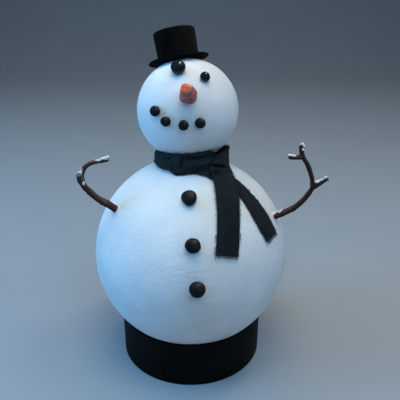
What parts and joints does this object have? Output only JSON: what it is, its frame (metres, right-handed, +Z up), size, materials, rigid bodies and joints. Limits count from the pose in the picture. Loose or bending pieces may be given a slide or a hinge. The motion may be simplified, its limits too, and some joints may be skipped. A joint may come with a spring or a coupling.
{
  "type": "snowman figure",
  "caption": "Tabletop snowman of coated craft balls on a round black base, with a felt top hat, a cloth scarf, clay coals, a carrot nose and twig arms.",
  "frame": {"origin": "centre of the base's round underside", "axes": "+Z up; the snowman faces -Y, and +X is on the viewer's right when it is seen from the front"},
  "size_m": [0.2318, 0.2093, 0.3437],
  "materials": {
    "white_coat": "matte",
    "black_base": "matte",
    "black_felt": "matte",
    "black_clay": "matte",
    "black_bead": "gloss",
    "orange_clay": "satin",
    "bark": "matte",
    "black_cotton": "matte"
  },
  "bodies": {
    "root": {"base": "black_base", "body_ball": "white_coat", "head_ball": "white_coat", "hat_brim": "black_felt", "hat_crown": "black_felt", "eye_large": "black_bead", "eye_small": "black_bead", "carrot_nose": "orange_clay", "mouth_coal_1": "black_clay", "mouth_coal_2": "black_clay", "mouth_coal_3": "black_clay", "mouth_coal_4": "black_clay", "button_top": "black_clay", "button_middle": "black_clay", "button_bottom": "black_clay", "scarf": "black_cotton", "left_arm": "bark", "left_forearm": "bark", "left_outer_twig": "bark", "left_hand_twig": "bark", "left_inner_twig": "bark", "right_arm": "bark", "right_forearm": "bark", "right_outer_twig": "bark", "right_hand_twig": "bark", "right_inner_twig": "bark"}
  },
  "joints": []
}
